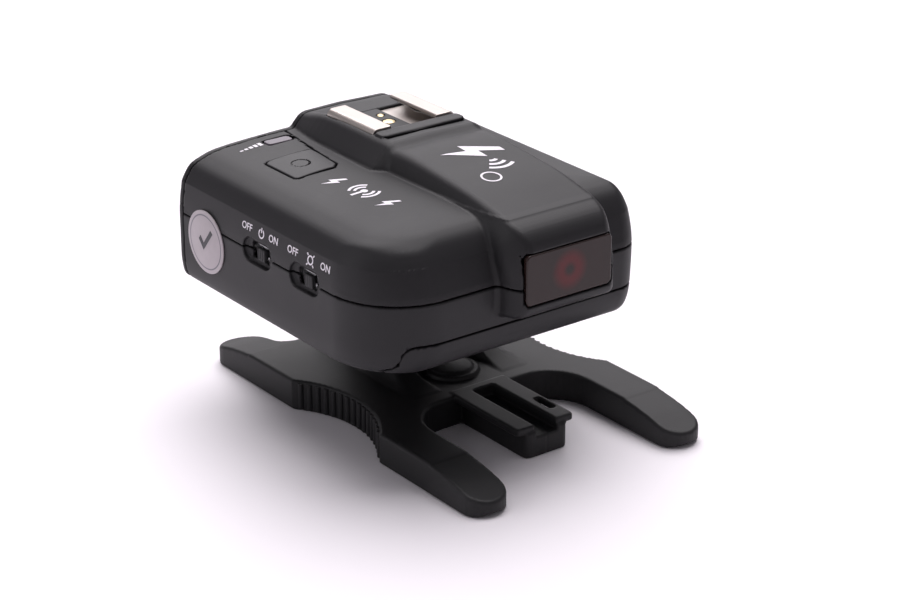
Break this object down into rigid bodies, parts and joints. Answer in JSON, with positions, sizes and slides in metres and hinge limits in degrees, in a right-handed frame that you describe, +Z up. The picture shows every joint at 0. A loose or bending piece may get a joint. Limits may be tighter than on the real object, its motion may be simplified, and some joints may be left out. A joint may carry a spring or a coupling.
{
  "type": "wireless flash trigger",
  "caption": "Black radio trigger with a hot shoe on top, a red lamp window, side switches and a locking foot, standing on a butterfly-shaped mini stand.",
  "frame": {"origin": "on the table, in the middle of the whole object's box; the axis shared by stand, foot, spine and hot shoe is 7.05 mm to +X of it", "axes": "+Z up, the lamp window faces -Y, the two side switches face -X"},
  "size_m": [0.083, 0.1104, 0.068],
  "materials": {
    "satin_black": "fine satin moulding grain",
    "gloss_black": "polished",
    "rubber_black": "soft matt",
    "red_pane": "polished, dark red",
    "lamp_red": "polished",
    "mirror_cup": "mirror",
    "nickel": "warm nickel plate",
    "steel": "plain",
    "tin_can": "plain",
    "brass": "turned",
    "board_green": "solder mask",
    "smoke_lens": "smoked",
    "display_grey": "glass and polariser",
    "cell_grey": "printed wrap",
    "seal_silver": "silver paper",
    "black_metal": "blackened"
  },
  "bodies": {
    "stand": {"stand_base": "satin_black", "tripod_bush": "brass"},
    "trigger": {"top_cover": "satin_black", "bottom_cover": "satin_black", "rear_panel": "satin_black", "af_window": "red_pane", "af_reflector": "mirror_cup", "af_led": "lamp_red", "hot_shoe_frame": "nickel", "hot_shoe_insulator": "satin_black", "hot_shoe_spring_left": "steel", "hot_shoe_spring_right": "steel", "hot_shoe_contact_1": "brass", "hot_shoe_contact_2": "brass", "hot_shoe_contact_3": "brass", "hot_shoe_contact_4": "brass", "status_lens": "smoke_lens", "test_switch": "tin_can", "power_switch_body": "tin_can", "lamp_switch_body": "tin_can", "display_window": "gloss_black", "lcd_module": "display_grey", "dial_encoder": "tin_can", "main_board": "board_green", "radio_module": "tin_can", "battery_tray": "satin_black", "battery_cell_1": "cell_grey", "battery_cell_2": "cell_grey", "battery_spring": "steel", "battery_plate": "steel", "battery_link": "steel", "usb_port": "tin_can", "sync_jack": "black_metal", "seal_sticker": "seal_silver", "case_screw_1": "black_metal", "case_screw_2": "black_metal", "case_screw_3": "black_metal", "case_screw_4": "black_metal", "foot_screw_1": "steel", "foot_screw_2": "steel", "foot_pedestal": "satin_black", "shoe_foot": "steel"},
    "test_button": {"test_button": "satin_black"},
    "power_switch": {"power_switch": "satin_black"},
    "lamp_switch": {"lamp_switch": "satin_black"},
    "menu_button_1": {"menu_button_1": "rubber_black"},
    "menu_button_2": {"menu_button_2": "rubber_black"},
    "menu_button_3": {"menu_button_3": "rubber_black"},
    "select_dial": {"select_dial": "satin_black"},
    "set_button": {"set_button": "satin_black"},
    "battery_door": {"battery_door": "satin_black"},
    "lock_ring": {"lock_ring": "satin_black"},
    "lock_pin": {"lock_pin": "steel"},
    "contact_pin_1": {"contact_pin_1": "brass"},
    "contact_pin_2": {"contact_pin_2": "brass"},
    "contact_pin_3": {"contact_pin_3": "brass"},
    "contact_pin_4": {"contact_pin_4": "brass"}
  },
  "joints": [
    {"name": "trigger_slide", "type": "slide", "parent": "stand", "child": "trigger", "axis": [0, 1, 0], "range_m": [0, 0.022]},
    {"name": "test_press", "type": "slide", "parent": "trigger", "child": "test_button", "axis": [0, 0, -1], "range_m": [0, 0.0008], "stiffness_N_per_m": 300, "springref_m": -0.0006},
    {"name": "power_switch_slide", "type": "slide", "parent": "trigger", "child": "power_switch", "axis": [0, -1, 0], "range_m": [-0.0028, 0]},
    {"name": "lamp_switch_slide", "type": "slide", "parent": "trigger", "child": "lamp_switch", "axis": [0, -1, 0], "range_m": [-0.0028, 0]},
    {"name": "menu_button_1_press", "type": "slide", "parent": "trigger", "child": "menu_button_1", "axis": [0, -1, 0], "range_m": [0, 0.0006], "stiffness_N_per_m": 250, "springref_m": -0.0005},
    {"name": "menu_button_2_press", "type": "slide", "parent": "trigger", "child": "menu_button_2", "axis": [0, -1, 0], "range_m": [0, 0.0006], "stiffness_N_per_m": 250, "springref_m": -0.0005},
    {"name": "menu_button_3_press", "type": "slide", "parent": "trigger", "child": "menu_button_3", "axis": [0, -1, 0], "range_m": [0, 0.0006], "stiffness_N_per_m": 250, "springref_m": -0.0005},
    {"name": "select_dial_turn", "type": "hinge", "parent": "trigger", "child": "select_dial", "pos_m": [-0.02445, 0.045, 0.046], "axis": [0, 1, 0], "continuous": true},
    {"name": "set_press", "type": "slide", "parent": "trigger", "child": "set_button", "axis": [0, -1, 0], "range_m": [0, 0.0006], "stiffness_N_per_m": 250, "springref_m": -0.0005},
    {"name": "battery_door_slide", "type": "slide", "parent": "trigger", "child": "battery_door", "axis": [0, -1, 0], "range_m": [0, 0.034]},
    {"name": "lock_ring_turn", "type": "hinge", "parent": "trigger", "child": "lock_ring", "pos_m": [0.00705, 0.023, 0.0129], "axis": [0, 0, 1], "range_deg": [0, 80]},
    {"name": "lock_pin_drop", "type": "slide", "parent": "trigger", "child": "lock_pin", "axis": [0, 0, -1], "range_m": [0, 0.0012]},
    {"name": "contact_pin_1_press", "type": "slide", "parent": "trigger", "child": "contact_pin_1", "axis": [0, 0, 1], "range_m": [0, 0.0006], "stiffness_N_per_m": 200, "springref_m": -0.0005},
    {"name": "contact_pin_2_press", "type": "slide", "parent": "trigger", "child": "contact_pin_2", "axis": [0, 0, 1], "range_m": [0, 0.0006], "stiffness_N_per_m": 200, "springref_m": -0.0005},
    {"name": "contact_pin_3_press", "type": "slide", "parent": "trigger", "child": "contact_pin_3", "axis": [0, 0, 1], "range_m": [0, 0.0006], "stiffness_N_per_m": 200, "springref_m": -0.0005},
    {"name": "contact_pin_4_press", "type": "slide", "parent": "trigger", "child": "contact_pin_4", "axis": [0, 0, 1], "range_m": [0, 0.0006], "stiffness_N_per_m": 200, "springref_m": -0.0005}
  ],
  "couplings": [
    {"joint": "lock_pin_drop", "follows": "lock_ring_turn", "m_per_rad": 0.000859}
  ]
}
